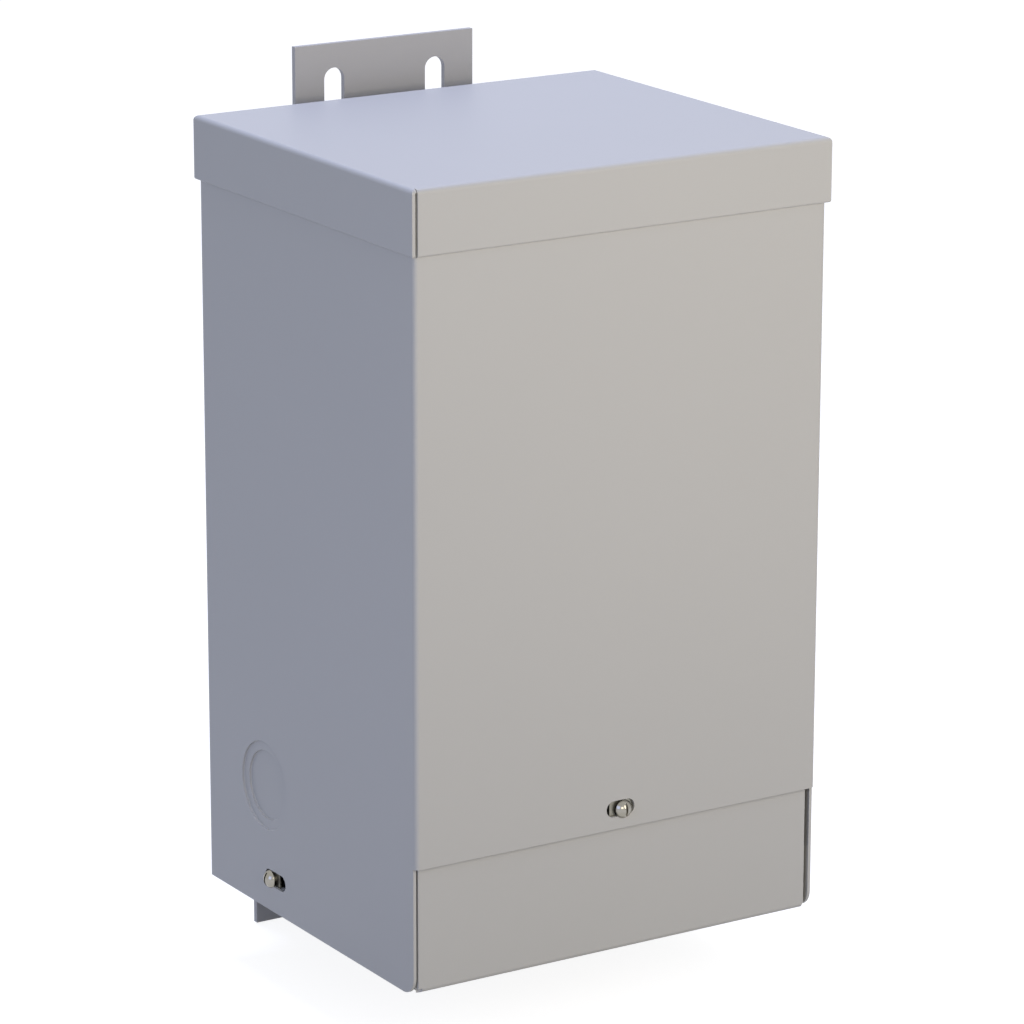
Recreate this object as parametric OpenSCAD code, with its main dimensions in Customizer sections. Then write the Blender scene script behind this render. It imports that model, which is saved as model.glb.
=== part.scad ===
// Wall-mounted dry-type transformer: a potted core and coil in a folded sheet-steel box,
// with a wiring space below it, closed by a screwed pan.
// Millimetres, +Z up. The wall is the plane Y = 0 and the front looks towards -Y.
// The origin lies on the wall, midway between the two upper mounting slots.

/* [Enclosure] */
// Width over the side walls
body_w = 224.5; // [216:0.5:260]
// Depth from the front panel to the back of the side walls
body_d = 199; // [190:0.5:240]
// Height from the bottom edge of the side walls to the top of the cap
body_h = 382; // [370:1:460]
// Thickness of the folded sheet
sheet_t = 1.5; // [1.2:0.1:1.9]
// Outside radius of every fold in the sheet
fold_r = 2.4; // [2.2:0.1:3]
// Width of the return flanges that hold the back panel
return_w = 20; // [14:1:30]
// Radius of the lower front corner of each side wall
wall_corner_r = 9; // [4:0.5:14]
// Height of the lower edge of the front panel
panel_bottom_z = 62.7; // [56:0.1:68]

/* [Cap] */
// Depth of the flange around the cap
cap_flange_h = 31; // [22:0.5:40]
// Slit between two flanges at a corner of the cap
cap_slit = 1.4; // [0.8:0.1:2.5]
// Radius of the lower corners of the cap's flanges
cap_corner_r = 1; // [0.5:0.1:3]

/* [Wiring cover] */
// Height of the front flange of the pan
cover_front_h = 83; // [81:0.5:88]
// Height of the side and back flanges of the pan
cover_side_h = 31; // [27:0.5:37]
// Height of the pan's floor above the bottom edge of the side walls
cover_rise = 1; // [0.5:0.1:2]
// Gap between the front flange of the pan and the left wall
cover_left_gap = 1; // [0.5:0.1:3.5]
// Gap between the front flange of the pan and the right wall
cover_right_gap = 2.7; // [0.5:0.1:3.5]

/* [Cover screw slots] */
// Width of the slots for the cover screws
screw_slot_w = 8; // [6.5:0.1:8.6]
// Length of the front slot
front_slot_len = 15.6; // [13:0.1:18]
// Height of the front slot
front_slot_z = 72.8; // [70:0.1:75]
// Length of the side slots
side_slot_len = 20; // [18:0.1:24]
// Height of the side slots
side_slot_z = 16.9; // [14:0.1:20]
// Distance from the front panel to the middle of the side slots
side_slot_y = 132.6; // [60:0.1:150]
// How far right of the middle the front screw stands
front_screw_x = 1.8; // [-2:0.1:2]
// How far behind the middle of their slots the side screws stand
side_screw_back = 5.4; // [-5:0.1:5.5]
// How far below the middle of their slots the screws stand
screw_drop = 0.9; // [0:0.1:1.2]

/* [Knockouts] */
// Diameter of the outer ring
knockout_outer_d = 44; // [40:0.5:50]
// Diameter of the inner ring
knockout_inner_d = 34.5; // [28:0.5:36]
// Depth of each stamped step
knockout_step = 1.2; // [0.6:0.1:1.3]
// Distance of the knockouts from the front panel
knockout_y = 142.3; // [60:0.1:150]
// Height of the knockouts
knockout_z = 62.5; // [61:0.1:64]

/* [Wall brackets] */
// Thickness of the bracket plate
bracket_t = 3; // [2:0.5:4]
// Width of the upper bracket
upper_bracket_w = 100.5; // [86:0.5:150]
// Width of the lower bracket
lower_bracket_w = 155; // [90:0.5:170]
// Space from the back of the side walls to the wall
wall_gap = 18.5; // [14:0.5:30]
// Height of the upper bracket above the cap
upper_rise = 24.3; // [18:0.1:40]
// Depth of the lower bracket below the side walls
lower_drop = 38; // [30:0.5:50]
// Width of a mounting slot
mount_slot_w = 11.2; // [8:0.1:13]
// Length of a mounting slot
mount_slot_len = 25; // [16:0.5:28]
// Distance between the two slots of a bracket
mount_slot_pitch = 57; // [40:0.5:64]
// Distance from the end of a slot to the free edge of its bracket
mount_slot_edge = 12; // [8:0.5:14]
// Height of the bracket foot on the back panel
bracket_foot_h = 34; // [24:1:50]

/* [Core and coil] */
// Space from the core to each side wall
core_side_gap = 14.75; // [12:0.25:20]
// Depth of the stack of laminations
core_depth = 90; // [70:1:94]
// Space from the coil to each outer leg of the core
coil_gap = 4; // [2:0.25:8]
// Leg of the core clamp angles
clamp_leg = 26; // [20:1:28]
// Thickness of the core clamp angles
clamp_t = 3; // [2:0.5:5]
// Diameter of the core bolts
core_bolt_d = 8; // [6:0.5:10]

/* [Leads] */
// Outside diameter of a lead
lead_d = 5; // [3.5:0.1:6]
// Distance between neighbouring leads
lead_pitch = 11; // [8:0.5:12]
// Length of a lead's run along the wiring space
lead_run = 70; // [40:1:100]
// Radius of a lead's bend
lead_bend_r = 15; // [10:1:20]
// Height of the barrier plate above the bottom edge of the side walls
barrier_z = 98; // [94:1:110]

/* [Fasteners] */
// Thread diameter of the cover screws
screw_d = 4.8; // [4:0.1:5]
// Head diameter of the cover screws
screw_head_d = 9; // [8.6:0.1:11]
// Head height of the cover screws
screw_head_h = 3.1; // [2.5:0.1:4]
// Length of the cover screws under the head
screw_len = 12; // [9:0.5:18]
// Width of the clip nuts that the cover screws turn into
clip_w = 14; // [10:0.5:16]
// Thread diameter of the ground stud
ground_stud_d = 6; // [5:0.5:8]
// Shank diameter of the rivets in the back panel
rivet_d = 4; // [3:0.1:5]

/* [Hidden] */
$fn = 96;
fit = 0.1;                 // running clearance between sheets that slide over each other
seat = 0.8;                // room between the pan and the sheets around it, for the clip nuts
cut = 1;                   // overshoot of every cutting shape
inner_r = fold_r - sheet_t;
cap_over = sheet_t + fit;  // how far the cap stands out from the body on every side
wrap_top = body_h - sheet_t - inner_r - fit;
back_in = body_d - 2 * sheet_t;          // inner face of the back panel
wall_y = body_d + wall_gap;              // plane of the wall, from the front panel
upper_slot_z = body_h + upper_rise - mount_slot_edge - mount_slot_len / 2;
lower_slot_z = -lower_drop + mount_slot_edge + mount_slot_len / 2;
cover_y = sheet_t + seat;                // outer face of the pan's front flange
cover_x = body_w / 2 - sheet_t - seat;   // outer face of the pan's side flanges
lap = sheet_t + cap_slit;                // a flange of the cap ends this far behind the one that passes it
core_leg = (body_w - 2 * sheet_t - 2 * core_side_gap) / 3;
window_w = core_leg / 2;
window_h = 1.5 * core_leg;
core_w = 3 * core_leg;
core_h = 2.5 * core_leg;
core_y = (body_d - sheet_t) / 2;
core_z = (barrier_z + body_h) / 2;
bobbin_t = 2;
layer_t = 1;
coil_fit = 0.3;
coil_h = window_h - 2 * coil_fit;
coil_build = window_w - coil_gap;
winding_t = (coil_build - bobbin_t - 2 * layer_t) / 2;
bolt_x = core_w / 2 - window_w / 2;
bolt_z = core_h / 2 - window_w / 2;
bolt_head_h = 0.65 * core_bolt_d;
bolt_head_w = 1.6 * core_bolt_d;
lead_y = core_y - core_depth / 2 - coil_build / 2;
lead_row_x = core_leg / 2 + bobbin_t;    // middle of each row of leads
lead_z = 52;                             // height of the leads' run
lead_step = 7;                           // each lead is this much shorter than its outer neighbour
lead_strip = 10;                         // length of bare conductor at a lead's end
bushing_lip = 3;
bushing_w = 4 * lead_pitch;
bushing_wall = 4;
bushing_d = lead_d + 2 * bushing_wall;
ground_z = 50;
ground_len = 18;
washer_t = 1.2;
clip_t = 0.6;
barrel_h = 3;                            // height of the threaded barrel of a clip nut
barrel_d = 8;
rivet_head_d = 2 * rivet_d;
rivet_tail_d = 1.4 * rivet_d;
rivet_head_h = 1.2;
rivet_tail_h = 2.5;
rivet_rows = [0.12, 0.36, 0.6, 0.84];    // heights of the rivets as shares of the wrap's height
sides = [-1, 1];

// Places box coordinates, with the front panel at Y = 0 and the wall edges at Z = 0, in the part's frame
module in_frame() {
    translate([0, -wall_y, -upper_slot_z]) children();
}

// Rectangle with rounded corners, centred on X, from Y = 0 to Y = d
module rounded_sheet(w, d, r) {
    translate([-w / 2 + r, 0]) square([w - 2 * r, d]);
    translate([-w / 2, r]) square([w, d - 2 * r]);
    for (sx = sides, y = [r, d - r]) translate([sx * (w / 2 - r), y]) circle(r);
}

// Slot with round ends, centred, lying along X
module slot_2d(len, w) {
    square([len - w, w], center = true);
    for (s = sides) translate([s * (len - w) / 2, 0]) circle(w / 2);
}

// Quarter of a ring in the first quadrant, turned by q: the section of a fold
module fold_2d(r, t, q) {
    rotate(q) intersection() {
        difference() {
            circle(r);
            circle(r - t);
        }
        square([r, r]);
    }
}

// Flange with its fold, extruded along X and centred: it rises from the origin's level,
// with its outer face on Y = 0
module flange(len, h, t, r) {
    rotate([90, 0, 90]) linear_extrude(len, center = true) {
        translate([r, r]) fold_2d(r, t, 180);
        translate([0, r]) square([t, h - r]);
    }
}

// Stamped pair of rings on a side wall: the steps that stand inside
module knockout_bulge() {
    rim = knockout_step / 2;
    for (i = [1, 2]) {
        d = (i == 1) ? knockout_outer_d : knockout_inner_d;
        translate([0, 0, i * knockout_step - knockout_step / 2])
            cylinder(h = sheet_t + knockout_step / 2, r = d / 2 + rim);
    }
}

// The steps that are pressed in from outside
module knockout_recess() {
    translate([0, 0, -cut]) cylinder(h = cut + knockout_step, d = knockout_outer_d);
    translate([0, 0, -cut]) cylinder(h = cut + 2 * knockout_step, d = knockout_inner_d);
}

// Puts its children on the outer face of a side wall, with their Z pointing inwards
module on_wall(side, y, z) {
    translate([side * body_w / 2, y, z]) rotate([0, -side * 90, 0]) children();
}

// The slots for the cover screws, through the wrap and the pan behind it
module screw_slots() {
    through = 8 * sheet_t;
    translate([0, 0, front_slot_z]) rotate([90, 0, 0])
        linear_extrude(through, center = true) slot_2d(front_slot_len, screw_slot_w);
    for (s = sides) translate([s * body_w / 2, side_slot_y, side_slot_z]) rotate([90, 0, 90])
        linear_extrude(through, center = true) slot_2d(side_slot_len, screw_slot_w);
}

module side_and_front_wrap() {
    color("lightsteelblue") in_frame() difference() {
        union() {
            linear_extrude(wrap_top) difference() {
                rounded_sheet(body_w, body_d, fold_r);
                translate([0, sheet_t])
                    rounded_sheet(body_w - 2 * sheet_t, body_d - 2 * sheet_t, inner_r);
                translate([-body_w / 2 + return_w, body_d - 2 * sheet_t])
                    square([body_w - 2 * return_w, 3 * sheet_t]);
            }
            for (s = sides) on_wall(s, knockout_y, knockout_z) knockout_bulge();
        }
        for (s = sides) on_wall(s, knockout_y, knockout_z) knockout_recess();
        // the front panel ends above the wiring space
        translate([-body_w, -cut, -cut]) cube([2 * body_w, fold_r + cut, panel_bottom_z + cut]);
        // rounded lower front corners of the side walls
        for (s = sides) translate([s * body_w / 2, fold_r, 0]) rotate([90, 0, 90])
            linear_extrude(4 * sheet_t, center = true) difference() {
                translate([-cut, -cut]) square(wall_corner_r + cut);
                translate([wall_corner_r, wall_corner_r]) circle(wall_corner_r);
            }
        at_rivets() cylinder(h = 8 * sheet_t, d = rivet_d, center = true);
        screw_slots();
    }
}

// Puts its children at each rivet of the back panel, on its inner face, with Z pointing to the wall
module at_rivets() {
    for (s = sides, k = rivet_rows) translate([s * (body_w - return_w) / 2, back_in, k * wrap_top])
        rotate([-90, 0, 0]) children();
}

module back_panel() {
    color("lightsteelblue") in_frame() difference() {
        translate([-body_w / 2 + fold_r, back_in, cover_rise])
            cube([body_w - 2 * fold_r, sheet_t, wrap_top - cover_rise]);
        at_rivets() cylinder(h = 4 * sheet_t, d = rivet_d, center = true);
    }
}

module back_panel_rivets() {
    color("silver") in_frame() at_rivets() {
        translate([0, 0, -rivet_tail_h]) cylinder(h = rivet_tail_h, d = rivet_tail_d);
        cylinder(h = 2 * sheet_t, d = rivet_d);
        translate([0, 0, 2 * sheet_t])
            cylinder(h = rivet_head_h, d1 = rivet_head_d, d2 = rivet_tail_d);
    }
}

// Outline of the cap across its folds: folded above, with small corners below
module cap_outline(w) {
    translate([0, -cap_flange_h]) {
        rounded_sheet(w, cap_flange_h, fold_r);
        rounded_sheet(w, cap_flange_h / 2, cap_corner_r);
    }
}

// The left flange of the cap passes the front and back ones, and these pass the right one
module top_cap() {
    w = body_w + 2 * cap_over;
    d = body_d + 2 * cap_over;
    color("lavender") in_frame() translate([0, d / 2 - cap_over, body_h]) intersection() {
        union() {
            translate([-w / 2 + fold_r, -d / 2 + fold_r, -sheet_t])
                cube([w - 2 * fold_r, d - 2 * fold_r, sheet_t]);
            for (my = [0, 1]) mirror([0, my, 0]) translate([lap / 2, -d / 2, 0])
                mirror([0, 0, 1]) flange(w - lap, cap_flange_h, sheet_t, fold_r);
            translate([-w / 2, 0, 0]) rotate(-90) mirror([0, 0, 1])
                flange(d, cap_flange_h, sheet_t, fold_r);
            translate([w / 2, 0, 0]) rotate(90) mirror([0, 0, 1])
                flange(d - 2 * lap, cap_flange_h, sheet_t, fold_r);
        }
        rotate([90, 0, 0]) linear_extrude(2 * d, center = true) cap_outline(w);
        rotate([90, 0, 90]) linear_extrude(2 * w, center = true) cap_outline(d);
    }
}

// Pan that closes the wiring space: floor, four upturned flanges and open corners
module wiring_cover() {
    front_len = body_w - 2 * sheet_t - cover_left_gap - cover_right_gap;
    front_x = (cover_left_gap - cover_right_gap) / 2;
    back_y = back_in - seat;
    side_len = back_y - cover_y - 2 * fold_r;
    mid_y = (cover_y + back_y) / 2;
    color("gainsboro") in_frame() difference() {
        translate([0, 0, cover_rise]) {
            translate([-cover_x + fold_r, cover_y + fold_r, 0])
                cube([2 * (cover_x - fold_r), back_y - cover_y - 2 * fold_r, sheet_t]);
            translate([front_x, cover_y, 0])
                flange(front_len, cover_front_h, sheet_t, fold_r);
            translate([0, back_y, 0]) rotate(180)
                flange(2 * (cover_x - fold_r), cover_side_h, sheet_t, fold_r);
            for (s = sides) translate([s * cover_x, mid_y, 0]) rotate(s * 90)
                flange(side_len, cover_side_h, sheet_t, fold_r);
        }
        // notches that relieve the folds at the corners
        for (s = sides, y = [cover_y, back_y]) translate([s * cover_x, y, cover_rise])
            cylinder(h = 2 * fold_r, r = fold_r, center = true);
        screw_slots();
    }
}

// Puts its children at a cover screw, on the outer face of the wrap, with Z outwards and Y up
module at_front_screw() {
    translate([front_screw_x, 0, front_slot_z - screw_drop]) rotate([90, 0, 0]) children();
}

module at_side_screws() {
    for (s = sides)
        translate([s * body_w / 2, side_slot_y + side_screw_back, side_slot_z - screw_drop])
        rotate([0, s * 90, 0]) rotate(s * 90) children();
}

// Slotted round-head screw; dome_r is the radius that its head is turned to
module cover_screw(dome_r) {
    difference() {
        intersection() {
            cylinder(h = screw_head_h, d = screw_head_d);
            translate([0, 0, screw_head_h - dome_r]) sphere(dome_r);
        }
        translate([0, 0, screw_head_h])
            cube([screw_head_d / 8, screw_head_d, screw_head_h], center = true);
    }
    translate([0, 0, -screw_len]) cylinder(h = screw_len, d = screw_d);
}

module cover_screws() {
    dome_r = (screw_head_d * screw_head_d / 4 + screw_head_h * screw_head_h) / (2 * screw_head_h);
    color("gainsboro") in_frame() {
        at_front_screw() cover_screw(dome_r);
        at_side_screws() cover_screw(dome_r);
    }
}

// Spring clip over the top edge of a flange, which lies this far above the screw
module clip_nut(up) {
    outer = -sheet_t - seat;
    inner = outer - sheet_t - clip_t;
    difference() {
        union() {
            for (z = [outer, inner]) translate([-clip_w / 2, -clip_w / 2, z])
                cube([clip_w, clip_w / 2 + up + clip_t, clip_t]);
            translate([-clip_w / 2, up, inner]) cube([clip_w, clip_t, sheet_t + 2 * clip_t]);
            translate([0, 0, inner - barrel_h]) cylinder(h = barrel_h + clip_t / 2, d = barrel_d);
        }
        cylinder(h = 4 * screw_len, d = screw_d + 2 * fit, center = true);
    }
}

module cover_nuts() {
    screw_rise = screw_drop + cover_rise;
    color("dimgray") in_frame() {
        at_front_screw() clip_nut(cover_front_h - front_slot_z + screw_rise);
        at_side_screws() clip_nut(cover_side_h - side_slot_z + screw_rise);
    }
}

// Side section of a wall bracket in Y and Z: foot on the back panel, web, and plate on the wall.
// The web lies at Z = 0 and the plate rises by the given height.
module bracket_section(rise) {
    r = 2 * bracket_t;
    y0 = body_d - sheet_t;
    translate([y0, -bracket_foot_h]) square([bracket_t, bracket_foot_h - r + bracket_t]);
    translate([y0 + r, bracket_t - r]) fold_2d(r, bracket_t, 90);
    translate([y0 + r, 0]) square([wall_y - y0 - 2 * r, bracket_t]);
    translate([wall_y - r, r]) fold_2d(r, bracket_t, 270);
    translate([wall_y - bracket_t, r]) square([bracket_t, rise - r]);
}

module wall_bracket(w, rise) {
    slot_z = rise - mount_slot_edge - mount_slot_len / 2;
    difference() {
        rotate([90, 0, 90]) linear_extrude(w, center = true) bracket_section(rise);
        for (s = sides) translate([s * mount_slot_pitch / 2, wall_y, slot_z]) rotate([90, 90, 0])
            linear_extrude(4 * bracket_t, center = true) slot_2d(mount_slot_len, mount_slot_w);
    }
}

module upper_wall_bracket() {
    web_z = body_h - cap_flange_h - 2 * bracket_t;
    color("darkgray") in_frame() translate([0, 0, web_z])
        wall_bracket(upper_bracket_w, body_h + upper_rise - web_z);
}

module lower_wall_bracket() {
    web_z = lower_slot_z + mount_slot_len + 3 * bracket_t;
    color("darkgray") in_frame() translate([0, 0, web_z]) mirror([0, 0, 1])
        wall_bracket(lower_bracket_w, lower_drop + web_z);
}

// X places of the leads: the first row feeds the primary, the second the secondary
lead_xs = [for (s = sides, k = [-1.5, -0.5, 0.5, 1.5]) s * lead_row_x + k * lead_pitch];

// Steel plate between the potted core and the wiring space, with folded sides
module barrier_plate() {
    gap = sheet_t + seat;
    w = body_w - 2 * gap;
    d = back_in - cover_y - seat;
    color("lightsteelblue") in_frame() translate([0, cover_y, barrier_z]) difference() {
        union() {
            translate([-w / 2 + fold_r, 0, 0]) cube([w - 2 * fold_r, d, sheet_t]);
            for (s = sides) translate([s * w / 2, d / 2, sheet_t]) rotate(s * 90)
                mirror([0, 0, 1]) flange(d, 5 * fold_r, sheet_t, fold_r);
        }
        for (s = sides) translate([s * lead_row_x, lead_y - cover_y, 0])
            linear_extrude(4 * sheet_t, center = true) slot_2d(bushing_w, bushing_d);
    }
}

// Rubber bushings that carry the leads through the barrier plate
module lead_bushings() {
    color("dimgray") in_frame() difference() {
        for (s = sides) translate([s * lead_row_x, lead_y, barrier_z]) {
            linear_extrude(sheet_t) slot_2d(bushing_w, bushing_d);
            translate([0, 0, -bushing_lip]) linear_extrude(bushing_lip)
                slot_2d(bushing_w + bushing_lip, bushing_d + bushing_lip);
        }
        for (x = lead_xs) translate([x, lead_y, barrier_z])
            cylinder(h = 6 * bushing_lip, d = lead_d + 2 * fit, center = true);
    }
}

// Puts its children at the middle of the core, lying so that their Z runs along the stack
module at_core() {
    translate([0, core_y, core_z]) rotate([90, 0, 0]) children();
}

module at_core_bolts() {
    for (sx = sides, sz = sides) translate([sx * bolt_x, sz * bolt_z, 0]) children();
}

module core_laminations() {
    color("dimgray") in_frame() at_core() difference() {
        cube([core_w, core_h, core_depth], center = true);
        for (s = sides) translate([s * (core_leg + window_w) / 2, 0, 0])
            cube([window_w, window_h, core_depth + cut], center = true);
        at_core_bolts() cylinder(h = core_depth + cut, d = core_bolt_d + 4 * fit, center = true);
    }
}

// One layer of the coil around the centre leg, from the inner gap to the outer gap
module coil_layer(inner, outer, h) {
    translate([0, core_y, core_z - h / 2]) linear_extrude(h) difference() {
        translate([0, -core_depth / 2 - outer])
            rounded_sheet(core_leg + 2 * outer, core_depth + 2 * outer, max(outer, 1));
        translate([0, -core_depth / 2 - inner])
            rounded_sheet(core_leg + 2 * inner, core_depth + 2 * inner, max(inner, coil_fit));
    }
}

wind_h = coil_h - 2 * bobbin_t;

module coil_bobbin() {
    color("ivory") in_frame() {
        coil_layer(coil_fit, bobbin_t, coil_h);
        for (s = sides) translate([0, 0, s * (coil_h - bobbin_t) / 2])
            coil_layer(coil_fit, coil_build, bobbin_t);
    }
}

module secondary_winding() {
    color("peru") in_frame() coil_layer(bobbin_t, bobbin_t + winding_t, wind_h);
}

module winding_barrier() {
    inner = bobbin_t + winding_t;
    color("khaki") in_frame() coil_layer(inner, inner + layer_t, wind_h);
}

module primary_winding() {
    inner = bobbin_t + winding_t + layer_t;
    color("chocolate") in_frame() coil_layer(inner, inner + winding_t, wind_h);
}

module coil_wrap() {
    color("khaki") in_frame() coil_layer(coil_build - layer_t, coil_build, wind_h);
}

// Angle bar that lies on the upper yoke, on the front face of the stack
module clamp_angle() {
    len = core_w - 2 * clamp_t;
    h = window_w - clamp_t;
    translate([-len / 2, core_h / 2 - h, core_depth / 2]) {
        cube([len, h, clamp_t]);
        translate([0, h - clamp_t, 0]) cube([len, clamp_t, clamp_leg]);
    }
}

// The four angle bars, with slots for the leads in the lower front one
module clamp_bars() {
    difference() {
        for (mz = [0, 1], my = [0, 1]) mirror([0, mz, 0]) mirror([0, 0, my]) clamp_angle();
        for (s = sides)
            translate([s * lead_row_x, -core_h / 2, (core_depth + coil_build) / 2])
            rotate([90, 0, 0]) linear_extrude(4 * clamp_t, center = true)
            slot_2d(bushing_w, bushing_d);
    }
}

module core_clamps() {
    color("slategray") in_frame() at_core() difference() {
        clamp_bars();
        at_core_bolts() cylinder(h = core_depth + 4 * clamp_leg, d = core_bolt_d + 4 * fit,
            center = true);
    }
}

module core_bolts() {
    under = core_depth / 2 + clamp_t;
    color("silver") in_frame() at_core() at_core_bolts() {
        translate([0, 0, -under - 2 * bolt_head_h])
            cylinder(h = 2 * under + 2 * bolt_head_h, d = core_bolt_d);
        translate([0, 0, under]) cylinder(h = bolt_head_h, d = bolt_head_w / cos(30), $fn = 6);
    }
}

module core_nuts() {
    under = core_depth / 2 + clamp_t;
    color("silver") in_frame() at_core() at_core_bolts()
        translate([0, 0, -under - bolt_head_h]) difference() {
            cylinder(h = bolt_head_h, d = bolt_head_w / cos(30), $fn = 6);
            cylinder(h = 4 * bolt_head_h, d = core_bolt_d + 2 * fit, center = true);
        }
}

// Everything that is cast into the potting, as one plain shape without running clearances
module potted_parts() {
    under = core_depth / 2 + clamp_t;
    at_core() {
        difference() {
            cube([core_w, core_h, core_depth], center = true);
            for (s = sides) translate([s * (core_leg + window_w) / 2, 0, 0])
                cube([window_w, window_h, core_depth + cut], center = true);
        }
        clamp_bars();
        at_core_bolts() {
            cylinder(h = 2 * under + 4 * bolt_head_h, d = core_bolt_d + 2 * fit, center = true);
            cylinder(h = 2 * under + 2 * bolt_head_h, d = bolt_head_w / cos(30), center = true,
                $fn = 6);
        }
    }
    translate([0, core_y - core_depth / 2 - coil_build, core_z - coil_h / 2])
        linear_extrude(coil_h)
        rounded_sheet(core_leg + 2 * coil_build, core_depth + 2 * coil_build, coil_build);
    for (x = lead_xs) translate([x, lead_y, barrier_z])
        cylinder(h = core_z - barrier_z, d = lead_d + 2 * fit);
    at_rivets() cylinder(h = 2 * rivet_tail_h, d = rivet_tail_d + 2 * fit, center = true);
}

// Sand and resin cast around the core and coil, from the barrier plate to the cap
module potting_block() {
    bottom = barrier_z + sheet_t;
    color("darkkhaki") in_frame() difference() {
        translate([0, 0, bottom]) linear_extrude(body_h - sheet_t - bottom) intersection() {
            translate([0, sheet_t])
                rounded_sheet(body_w - 2 * sheet_t, body_d, inner_r);
            translate([-body_w, 0]) square([2 * body_w, back_in]);
        }
        potted_parts();
    }
}

// A lead leaves the coil, drops through its bushing and turns along the wiring space
module lead_path(i, d, run) {
    translate([lead_xs[i], lead_y, 0]) {
        translate([0, 0, lead_z + lead_bend_r])
            cylinder(h = core_z - coil_h / 2 - lead_z - lead_bend_r, d = d);
        translate([0, lead_bend_r, lead_z + lead_bend_r]) rotate([0, -90, 0]) rotate(180)
            rotate_extrude(angle = 90) translate([lead_bend_r, 0]) circle(d = d);
        translate([0, lead_bend_r, lead_z]) rotate([-90, 0, 0]) cylinder(h = run, d = d);
    }
}

// The leads are cut to lengths that step down towards the middle of the box
function lead_length(i) = lead_run - lead_step * min(i, 7 - i);

module lead(i, c) {
    color(c) in_frame() lead_path(i, lead_d, lead_length(i));
}

module lead_ends() {
    color("peru") in_frame() for (i = [0 : 7])
        translate([lead_xs[i], lead_y + lead_bend_r + lead_length(i), lead_z])
            rotate([-90, 0, 0]) cylinder(h = lead_strip, d = lead_d / 2);
}

// Puts its children on the inner face of the back panel at the ground stud, with Z pointing forwards
module at_ground() {
    translate([0, back_in, ground_z]) rotate([90, 0, 0]) children();
}

module ground_stud() {
    color("silver") in_frame() at_ground() cylinder(h = ground_len, d = ground_stud_d);
}

module ground_washer() {
    color("silver") in_frame() at_ground() difference() {
        cylinder(h = washer_t, d = 2.4 * ground_stud_d);
        cylinder(h = 4 * washer_t, d = ground_stud_d + 2 * fit, center = true);
    }
}

module ground_nut() {
    h = 0.8 * ground_stud_d;
    color("forestgreen") in_frame() at_ground() translate([0, 0, washer_t]) difference() {
        cylinder(h = h, d = 1.67 * ground_stud_d / cos(30), $fn = 6);
        cylinder(h = 4 * h, d = ground_stud_d + 2 * fit, center = true);
    }
}

side_and_front_wrap();
back_panel();
top_cap();
wiring_cover();
upper_wall_bracket();
lower_wall_bracket();
cover_screws();
cover_nuts();
back_panel_rivets();
barrier_plate();
lead_bushings();
core_laminations();
coil_bobbin();
secondary_winding();
winding_barrier();
primary_winding();
coil_wrap();
core_clamps();
core_bolts();
core_nuts();
potting_block();
lead(0, "black");  // lead_h1
lead(1, "black");  // lead_h2
lead(2, "black");  // lead_h3
lead(3, "black");  // lead_h4
lead(4, "darkslategray");  // lead_x1
lead(5, "darkslategray");  // lead_x2
lead(6, "darkslategray");  // lead_x3
lead(7, "darkslategray");  // lead_x4
lead_ends();
ground_stud();
ground_washer();
ground_nut();
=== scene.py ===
import math

import bmesh
import bpy
from mathutils import Matrix, Vector


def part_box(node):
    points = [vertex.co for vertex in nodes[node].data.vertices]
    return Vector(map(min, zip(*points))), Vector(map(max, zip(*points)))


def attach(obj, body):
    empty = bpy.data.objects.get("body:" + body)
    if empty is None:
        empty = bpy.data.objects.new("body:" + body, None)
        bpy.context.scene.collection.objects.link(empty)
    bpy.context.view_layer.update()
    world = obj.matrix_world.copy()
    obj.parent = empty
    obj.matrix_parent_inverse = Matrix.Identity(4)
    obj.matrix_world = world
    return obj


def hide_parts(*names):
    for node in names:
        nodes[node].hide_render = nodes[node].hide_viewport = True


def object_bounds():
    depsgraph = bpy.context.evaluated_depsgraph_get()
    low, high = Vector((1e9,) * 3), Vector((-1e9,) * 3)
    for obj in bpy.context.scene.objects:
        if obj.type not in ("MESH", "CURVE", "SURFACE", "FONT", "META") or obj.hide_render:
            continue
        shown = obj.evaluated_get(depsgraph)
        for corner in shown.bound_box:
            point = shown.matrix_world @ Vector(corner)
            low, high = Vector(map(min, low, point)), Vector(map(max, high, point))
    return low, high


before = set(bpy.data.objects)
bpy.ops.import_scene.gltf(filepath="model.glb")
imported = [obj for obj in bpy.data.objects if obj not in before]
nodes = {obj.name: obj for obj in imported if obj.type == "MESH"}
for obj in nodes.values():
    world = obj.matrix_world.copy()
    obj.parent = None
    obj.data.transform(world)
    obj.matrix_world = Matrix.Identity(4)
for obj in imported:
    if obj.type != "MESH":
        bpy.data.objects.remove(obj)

cadBox = [list(corner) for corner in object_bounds()]
print("frame loaded:", len(nodes), "nodes")

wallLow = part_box("side_and_front_wrap")[0]
boxOrigin = Vector((0, wallLow.y, wallLow.z))      # front panel's plane, bottom edge of the side walls


def addNode(tree, kind, **values):
    node = tree.nodes.new(kind)
    for name, value in values.items():
        if hasattr(node, name):
            setattr(node, name, value)
        else:
            node.inputs[name.replace("_", " ")].default_value = value
    return node


def join(tree, source, target):
    tree.links.new(source, target)


def newMaterial(name, colour, roughness, metallic=0.0):
    material = bpy.data.materials.new(name)
    material.use_nodes = True
    shader = material.node_tree.nodes["Principled BSDF"]
    shader.inputs["Base Color"].default_value = (*colour, 1)
    shader.inputs["Roughness"].default_value = roughness
    shader.inputs["Metallic"].default_value = metallic
    material.diffuse_color = (*colour, 1)
    return material, material.node_tree, shader


def objectPoint(tree):
    return addNode(tree, "ShaderNodeTexCoord").outputs["Object"]


mottleNoise = {
    "patchDetail": 3.0,
    "patchRoughness": 0.5,
    "grainDetail": 2.0,
    "grainRoughness": 0.6,
    "grainDepth": 0.0002,          # metres
}


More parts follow.
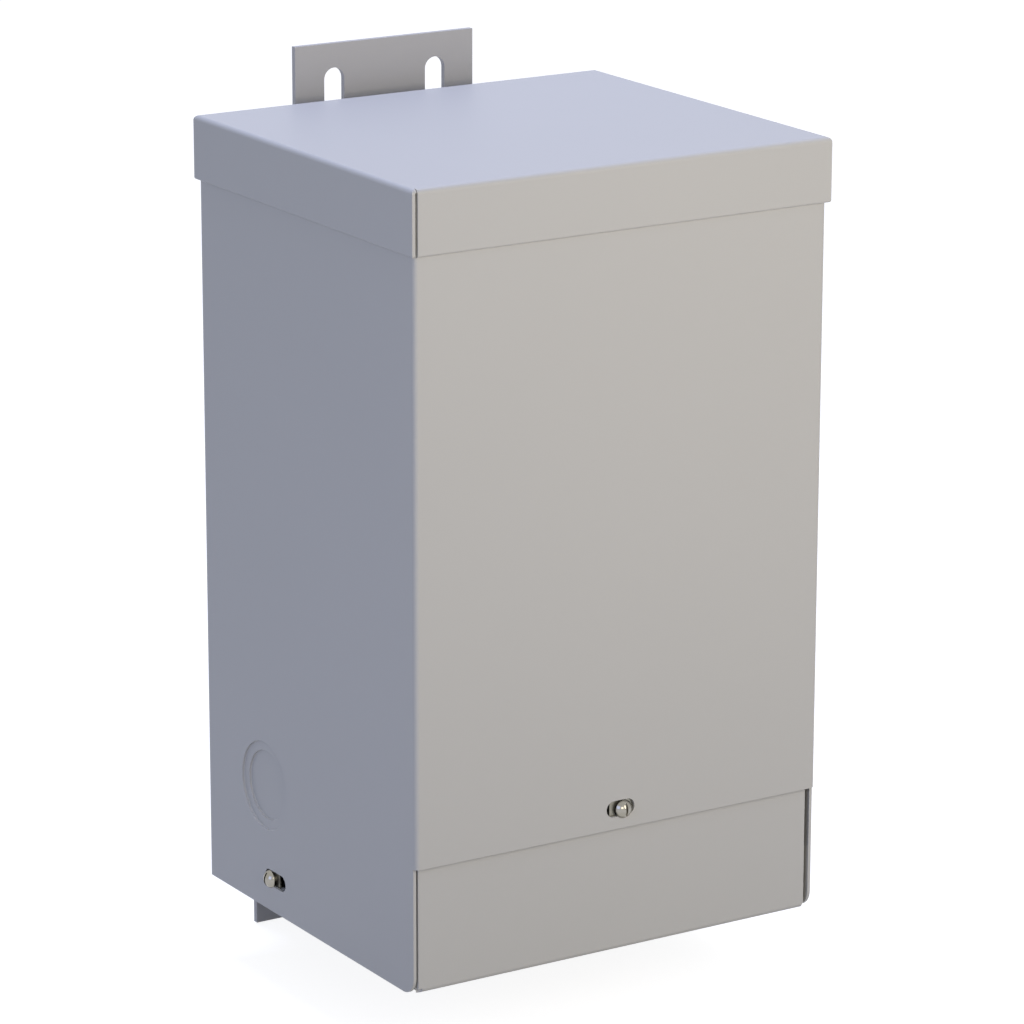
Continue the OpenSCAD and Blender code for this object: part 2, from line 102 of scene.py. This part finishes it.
# Soft patches of lighter and darker colour, and a fine height for the bump
def buildMottleGroup():
    group = bpy.data.node_groups.new("mottle", "ShaderNodeTree")
    face = group.interface
    face.new_socket("Point", in_out="INPUT", socket_type="NodeSocketVector")
    face.new_socket("Colour", in_out="INPUT", socket_type="NodeSocketColor")
    face.new_socket("Patch Size", in_out="INPUT", socket_type="NodeSocketFloat")
    face.new_socket("Patch Strength", in_out="INPUT", socket_type="NodeSocketFloat")
    face.new_socket("Grain Size", in_out="INPUT", socket_type="NodeSocketFloat")
    face.new_socket("Colour", in_out="OUTPUT", socket_type="NodeSocketColor")
    face.new_socket("Height", in_out="OUTPUT", socket_type="NodeSocketFloat")
    into = addNode(group, "NodeGroupInput")
    out = addNode(group, "NodeGroupOutput")

    patches = addNode(group, "ShaderNodeTexNoise", Detail=mottleNoise["patchDetail"],
        Roughness=mottleNoise["patchRoughness"])
    join(group, into.outputs["Point"], patches.inputs["Vector"])
    join(group, into.outputs["Patch Size"], patches.inputs["Scale"])
    centred = addNode(group, "ShaderNodeMath", operation="SUBTRACT")
    centred.inputs[1].default_value = 0.5          # the noise's middle value
    join(group, patches.outputs["Fac"], centred.inputs[0])
    lift = addNode(group, "ShaderNodeMath", operation="MULTIPLY_ADD")
    lift.inputs[2].default_value = 1.0
    join(group, centred.outputs[0], lift.inputs[0])
    join(group, into.outputs["Patch Strength"], lift.inputs[1])
    tinted = addNode(group, "ShaderNodeVectorMath", operation="SCALE")
    join(group, into.outputs["Colour"], tinted.inputs[0])
    join(group, lift.outputs[0], tinted.inputs["Scale"])
    join(group, tinted.outputs[0], out.inputs["Colour"])

    grain = addNode(group, "ShaderNodeTexNoise", Detail=mottleNoise["grainDetail"],
        Roughness=mottleNoise["grainRoughness"])
    join(group, into.outputs["Point"], grain.inputs["Vector"])
    join(group, into.outputs["Grain Size"], grain.inputs["Scale"])
    join(group, grain.outputs["Fac"], out.inputs["Height"])
    return group


mottleGroup = buildMottleGroup()


# Puts the mottle and a bump on a shader
def addMottle(tree, shader, finish):
    mottle = addNode(tree, "ShaderNodeGroup")
    mottle.node_tree = mottleGroup
    join(tree, objectPoint(tree), mottle.inputs["Point"])
    mottle.inputs["Colour"].default_value = (*finish["colour"], 1)
    mottle.inputs["Patch Size"].default_value = finish["patchSize"]
    mottle.inputs["Patch Strength"].default_value = finish["patchStrength"]
    mottle.inputs["Grain Size"].default_value = finish["grainSize"]
    join(tree, mottle.outputs["Colour"], shader.inputs["Base Color"])
    relief = addNode(tree, "ShaderNodeBump", Strength=finish["grain"],
        Distance=mottleNoise["grainDepth"])
    join(tree, mottle.outputs["Height"], relief.inputs["Height"])
    join(tree, relief.outputs["Normal"], shader.inputs["Normal"])


# A material from a finish, whose patch and grain sizes are counts per metre
def makeFinish(name, finish):
    material, tree, shader = newMaterial(name, finish["colour"], finish["roughness"],
        finish.get("metallic", 0.0))
    addMottle(tree, shader, finish)
    return material, tree, shader


paintFinish = {
    "colour": (0.515, 0.505, 0.475),
    "roughness": 0.5,
    "patchSize": 9.0,
    "patchStrength": 0.03,
    "grainSize": 900.0,            # orange peel of the sprayed paint
    "grain": 0.06,
    "coat": 0.08,
    "coatRoughness": 0.3,
}
# The brackets have the box's own paint. This darker colour is painted shade, standing in for the shade
# they get behind and under the box.
bracketColourWithPaintedShade = (0.455, 0.44, 0.42)


def makePaint(name, finish):
    material, tree, shader = makeFinish(name, finish)
    shader.inputs["Coat Weight"].default_value = finish["coat"]
    shader.inputs["Coat Roughness"].default_value = finish["coatRoughness"]
    return material


boxPaint = makePaint("greyBoxPaint", paintFinish)
bracketPaintWithPaintedShade = makePaint("greyBracketPaintWithPaintedShade", {**paintFinish, "colour": bracketColourWithPaintedShade})

metalFinish = {
    "zincPlate": {"colour": (0.32, 0.305, 0.265), "roughness": 0.17, "patchSize": 140.0,
        "patchStrength": 0.18},
    "rolledSteel": {"colour": (0.42, 0.42, 0.43), "roughness": 0.4, "patchSize": 60.0,
        "patchStrength": 0.2},
    "greenGroundNut": {"colour": (0.05, 0.30, 0.10), "roughness": 0.4, "patchSize": 90.0,
        "patchStrength": 0.1},
    "darkSpringSteel": {"colour": (0.27, 0.26, 0.22), "roughness": 0.4, "patchSize": 120.0,
        "patchStrength": 0.25},
}
metalGrain = {"metallic": 1.0, "grainSize": 1500.0, "grain": 0.05}
zinc, rolledSteel, greenSteel, springSteel = [
    makeFinish(name, {**finish, **metalGrain})[0] for name, finish in metalFinish.items()]

# Fine parallel lines show on the stack of laminations and on the turns of wire
linedFinish = {
    "coreLaminations": {"colour": (0.22, 0.22, 0.23), "roughness": 0.45, "metallic": 0.8,
        "axis": 1, "pitch": 0.0005},
    "copperTurns": {"colour": (0.72, 0.38, 0.22), "roughness": 0.3, "metallic": 0.9,
        "axis": 2, "pitch": 0.0022},
}
linedGrain = {"patchSize": 80.0, "patchStrength": 0.25, "grainSize": 1200.0, "grain": 0.1}
lineDepth = 0.6


def makeLined(name, finish):
    material, tree, shader = makeFinish(name, {**finish, **linedGrain})
    place = addNode(tree, "ShaderNodeSeparateXYZ")
    join(tree, objectPoint(tree), place.inputs[0])
    angle = addNode(tree, "ShaderNodeMath", operation="MULTIPLY")
    angle.inputs[1].default_value = 2 * math.pi / finish["pitch"]
    join(tree, place.outputs[finish["axis"]], angle.inputs[0])
    wave = addNode(tree, "ShaderNodeMath", operation="SINE")
    join(tree, angle.outputs[0], wave.inputs[0])
    relief = addNode(tree, "ShaderNodeBump", Strength=lineDepth, Distance=finish["pitch"] / 3)
    join(tree, wave.outputs[0], relief.inputs["Height"])
    join(tree, relief.outputs["Normal"], shader.inputs["Normal"])
    return material


coreSteel, copperTurns = [makeLined(name, finish) for name, finish in linedFinish.items()]

plainFinish = {
    "bobbinPlastic": {"colour": (0.85, 0.82, 0.72), "roughness": 0.5, "patchSize": 50.0,
        "patchStrength": 0.08, "grainSize": 800.0, "grain": 0.1},
    "insulationPaper": {"colour": (0.78, 0.66, 0.42), "roughness": 0.7, "patchSize": 120.0,
        "patchStrength": 0.2, "grainSize": 1500.0, "grain": 0.4},
    "sandAndResin": {"colour": (0.42, 0.38, 0.30), "roughness": 0.85, "patchSize": 300.0,
        "patchStrength": 0.6, "grainSize": 1800.0, "grain": 0.9},
    "bushingRubber": {"colour": (0.05, 0.05, 0.05), "roughness": 0.7, "patchSize": 60.0,
        "patchStrength": 0.2, "grainSize": 900.0, "grain": 0.2},
    "blackInsulation": {"colour": (0.03, 0.03, 0.03), "roughness": 0.45, "patchSize": 60.0,
        "patchStrength": 0.2, "grainSize": 900.0, "grain": 0.1},
    "slateInsulation": {"colour": (0.12, 0.15, 0.18), "roughness": 0.45, "patchSize": 60.0,
        "patchStrength": 0.2, "grainSize": 900.0, "grain": 0.1},
}
bobbinPlastic, insulationPaper, pottingCompound, bushingRubber, blackInsulation, slateInsulation = [
    makeFinish(name, finish)[0] for name, finish in plainFinish.items()]

finishOf = {
    "side_and_front_wrap": boxPaint,
    "back_panel": boxPaint,
    "top_cap": boxPaint,
    "wiring_cover": boxPaint,
    "upper_wall_bracket": bracketPaintWithPaintedShade,
    "lower_wall_bracket": bracketPaintWithPaintedShade,
    "cover_screws": zinc,
    "cover_nuts": springSteel,
    "back_panel_rivets": zinc,
    "barrier_plate": rolledSteel,
    "lead_bushings": bushingRubber,
    "core_laminations": coreSteel,
    "coil_bobbin": bobbinPlastic,
    "secondary_winding": copperTurns,
    "winding_barrier": insulationPaper,
    "primary_winding": copperTurns,
    "coil_wrap": insulationPaper,
    "core_clamps": rolledSteel,
    "core_bolts": zinc,
    "core_nuts": zinc,
    "potting_block": pottingCompound,
    "lead_h1": blackInsulation,
    "lead_h2": blackInsulation,
    "lead_h3": blackInsulation,
    "lead_h4": blackInsulation,
    "lead_x1": slateInsulation,
    "lead_x2": slateInsulation,
    "lead_x3": slateInsulation,
    "lead_x4": slateInsulation,
    "lead_ends": copperTurns,
    "ground_stud": zinc,
    "ground_washer": zinc,
    "ground_nut": greenSteel,
}
for name, material in finishOf.items():
    piece = nodes[name]
    piece.data.materials.clear()
    piece.data.materials.append(material)
print("materials on", len(finishOf), "nodes")

# The stamped rings of the knockouts get soft edges, on a copy of the sheet
knockout = {
    "place": (0.1423, 0.0625),     # from the front panel and from the bottom edge
    "rings": (0.022, 0.01725),     # their radii
    "ease": 0.00035,               # radius of the soft edges
    "easeSegments": 3,
    "ringMatch": 0.00002,          # how near a vertex lies to a ring
    "mergeDistance": 0.000002,
    "flatAngle": 0.5,              # degrees, for merging the flat faces
    "sharpAngle": 38,              # degrees, above which an edge stays sharp
    "faceWeight": 100,             # keeps the walls flat beside the folds
}


def buildEasedSheet():
    source = nodes["side_and_front_wrap"]
    mesh = bmesh.new()
    mesh.from_mesh(source.data)
    bmesh.ops.remove_doubles(mesh, verts=mesh.verts, dist=knockout["mergeDistance"])
    bmesh.ops.dissolve_limit(mesh, angle_limit=math.radians(knockout["flatAngle"]), verts=mesh.verts,
        edges=mesh.edges)
    midY, midZ = wallLow.y + knockout["place"][0], wallLow.z + knockout["place"][1]

    def onRing(edge):
        first, last = (v.co for v in edge.verts)
        reaches = [math.hypot(place.y - midY, place.z - midZ) for place in (first, last)]
        offRings = min(max(abs(reach - ring) for reach in reaches) for ring in knockout["rings"])
        return max(offRings, abs(first.x - last.x)) < knockout["ringMatch"]

    ringEdges = [edge for edge in mesh.edges if onRing(edge)]
    bmesh.ops.bevel(mesh, geom=ringEdges, affect="EDGES", offset=knockout["ease"],
        segments=knockout["easeSegments"], profile=0.5, material=-1)
    bmesh.ops.recalc_face_normals(mesh, faces=mesh.faces)
    data = bpy.data.meshes.new("easedSheet")
    mesh.to_mesh(data)
    mesh.free()
    data.shade_smooth()
    data.set_sharp_from_angle(angle=math.radians(knockout["sharpAngle"]))
    piece = bpy.data.objects.new("easedSheet", data)
    bpy.context.scene.collection.objects.link(piece)
    piece.data.materials.append(boxPaint)
    even = piece.modifiers.new("evenNormals", "WEIGHTED_NORMAL")
    even.weight = knockout["faceWeight"]
    even.keep_sharp = True
    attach(piece, "root")
    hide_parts("side_and_front_wrap")
    print("sheet with eased rings:", len(ringEdges), "ring edges,", len(data.polygons), "faces")


buildEasedSheet()

stage = {
    "floorSize": 12.0,
    "floorGap": 0.001,                     # below the lowest edge of the part
    "floorColour": (0.26, 0.26, 0.26),     # as the object sees it
    "floorRoughness": 0.9,
    "floorSeen": (0.34, 0.34, 0.34),       # as the camera sees it, with the glow added
    "floorGlow": 0.88,
    "fillColour": (0.80, 0.87, 1.0),       # cool light from all round
    "fillStrength": 0.40,
}


# 1 where the camera, a reflection or a look through glass sees a surface, 0 for the light on the object
def addSeenMask(tree):
    lightPath = addNode(tree, "ShaderNodeLightPath")
    seen = lightPath.outputs["Is Camera Ray"]
    for kind in ("Is Glossy Ray", "Is Transmission Ray"):
        either = addNode(tree, "ShaderNodeMath", operation="MAXIMUM")
        join(tree, seen, either.inputs[0])
        join(tree, lightPath.outputs[kind], either.inputs[1])
        seen = either.outputs[0]
    return seen


scene = bpy.context.scene
floorZ = cadBox[0][2] - stage["floorGap"]
mesh = bmesh.new()
bmesh.ops.create_grid(mesh, x_segments=1, y_segments=1, size=stage["floorSize"] / 2)
bmesh.ops.translate(mesh, verts=mesh.verts, vec=(0, 0, floorZ))
floorMesh = bpy.data.meshes.new("floor")
mesh.to_mesh(floorMesh)
mesh.free()
floor = bpy.data.objects.new("floor", floorMesh)
scene.collection.objects.link(floor)

floorMaterial, tree, shader = newMaterial("paleFloor", stage["floorColour"], stage["floorRoughness"])
output = tree.nodes["Material Output"]
pale = addNode(tree, "ShaderNodeBsdfDiffuse", Color=(*stage["floorSeen"], 1))
glow = addNode(tree, "ShaderNodeEmission", Color=(1, 1, 1, 1), Strength=stage["floorGlow"])
both = addNode(tree, "ShaderNodeAddShader")
mixed = addNode(tree, "ShaderNodeMixShader")
join(tree, pale.outputs[0], both.inputs[0])
join(tree, glow.outputs[0], both.inputs[1])
join(tree, addSeenMask(tree), mixed.inputs[0])
join(tree, shader.outputs[0], mixed.inputs[1])
join(tree, both.outputs[0], mixed.inputs[2])
join(tree, mixed.outputs[0], output.inputs["Surface"])
floor.data.materials.append(floorMaterial)

print("floor at", round(floorZ, 4))

world = bpy.data.worlds.new("studio")
scene.world = world
world.use_nodes = True
tree = world.node_tree
fill = tree.nodes["Background"]
fill.inputs["Color"].default_value = (*stage["fillColour"], 1)
fill.inputs["Strength"].default_value = stage["fillStrength"]
white = addNode(tree, "ShaderNodeBackground", Color=(1, 1, 1, 1), Strength=1.0)
mixed = addNode(tree, "ShaderNodeMixShader")
join(tree, addSeenMask(tree), mixed.inputs[0])
join(tree, fill.outputs[0], mixed.inputs[1])
join(tree, white.outputs[0], mixed.inputs[2])
join(tree, mixed.outputs[0], tree.nodes["World Output"].inputs["Surface"])

# Places and aims are in metres from the middle of the box's front lower edge
lamps = {
    "frontKey": {"place": (0.26, -0.70, 0.46), "aim": (0.0, 0.0, 0.29), "size": 0.5, "power": 2.94,
        "colour": (1.0, 0.915, 0.79)},
    "frontLeft": {"place": (-0.42, -0.85, 0.42), "aim": (0.0, 0.0, 0.27), "size": 0.4, "power": 1.65,
        "colour": (1.0, 0.915, 0.79)},
    "leftFill": {"place": (-2.3, -0.8, 0.95), "aim": (0.0, 0.1, 0.2), "size": 1.5, "power": 12.2,
        "colour": (0.36, 0.48, 1.0)},
    "topSoft": {"place": (0.2, 0.95, 2.5), "aim": (0.0, 0.1, 0.4), "size": 1.2, "power": 46.5,
        "colour": (0.58, 0.645, 1.0)},
}
for name, lamp in lamps.items():
    data = bpy.data.lights.new(name, "AREA")
    data.shape = "SQUARE"
    data.size = lamp["size"]
    data.energy = lamp["power"]
    data.color = lamp["colour"]
    light = bpy.data.objects.new(name, data)
    light.location = boxOrigin + Vector(lamp["place"])
    light.rotation_mode = "QUATERNION"
    light.rotation_quaternion = (Vector(lamp["aim"]) - Vector(lamp["place"])).to_track_quat("-Z", "Y")
    scene.collection.objects.link(light)
print("lamps set:", len(lamps))

photo = {
    "azimuth": -32.075,            # degrees, as seen from above
    "elevation": 15.782,
    "roll": -0.106,
    "focalPixels": 4823.1,         # focal length in pixels of the picture
    "pixels": 1024,
    "sensorWidth": 36.0,           # millimetres
    "farthest": 50.0,              # metres, beyond which nothing is drawn
    "offset": (0.050942, 0.209236, 2.288289),   # box origin right, down and away of the camera
}
a, e = math.radians(photo["azimuth"]), math.radians(photo["elevation"])
away = Vector((-math.sin(a) * math.cos(e), math.cos(a) * math.cos(e), -math.sin(e)))
right = Vector((math.cos(a), math.sin(a), 0))
down = away.cross(right)
turn = Matrix.Rotation(math.radians(photo["roll"]), 3, away)
right, down = turn @ right, turn @ down
spot = boxOrigin - right * photo["offset"][0] - down * photo["offset"][1] - away * photo["offset"][2]
cameraData = bpy.data.cameras.new("camera")
cameraData.sensor_width = photo["sensorWidth"]
cameraData.lens = photo["sensorWidth"] * photo["focalPixels"] / photo["pixels"]
cameraData.clip_end = photo["farthest"]
camera = bpy.data.objects.new("camera", cameraData)
camera.matrix_world = Matrix.Translation(spot) @ Matrix((right, -down, -away)).transposed().to_4x4()
scene.collection.objects.link(camera)
scene.camera = camera
scene.view_settings.view_transform = "Standard"
print("camera at", [round(value, 3) for value in spot])
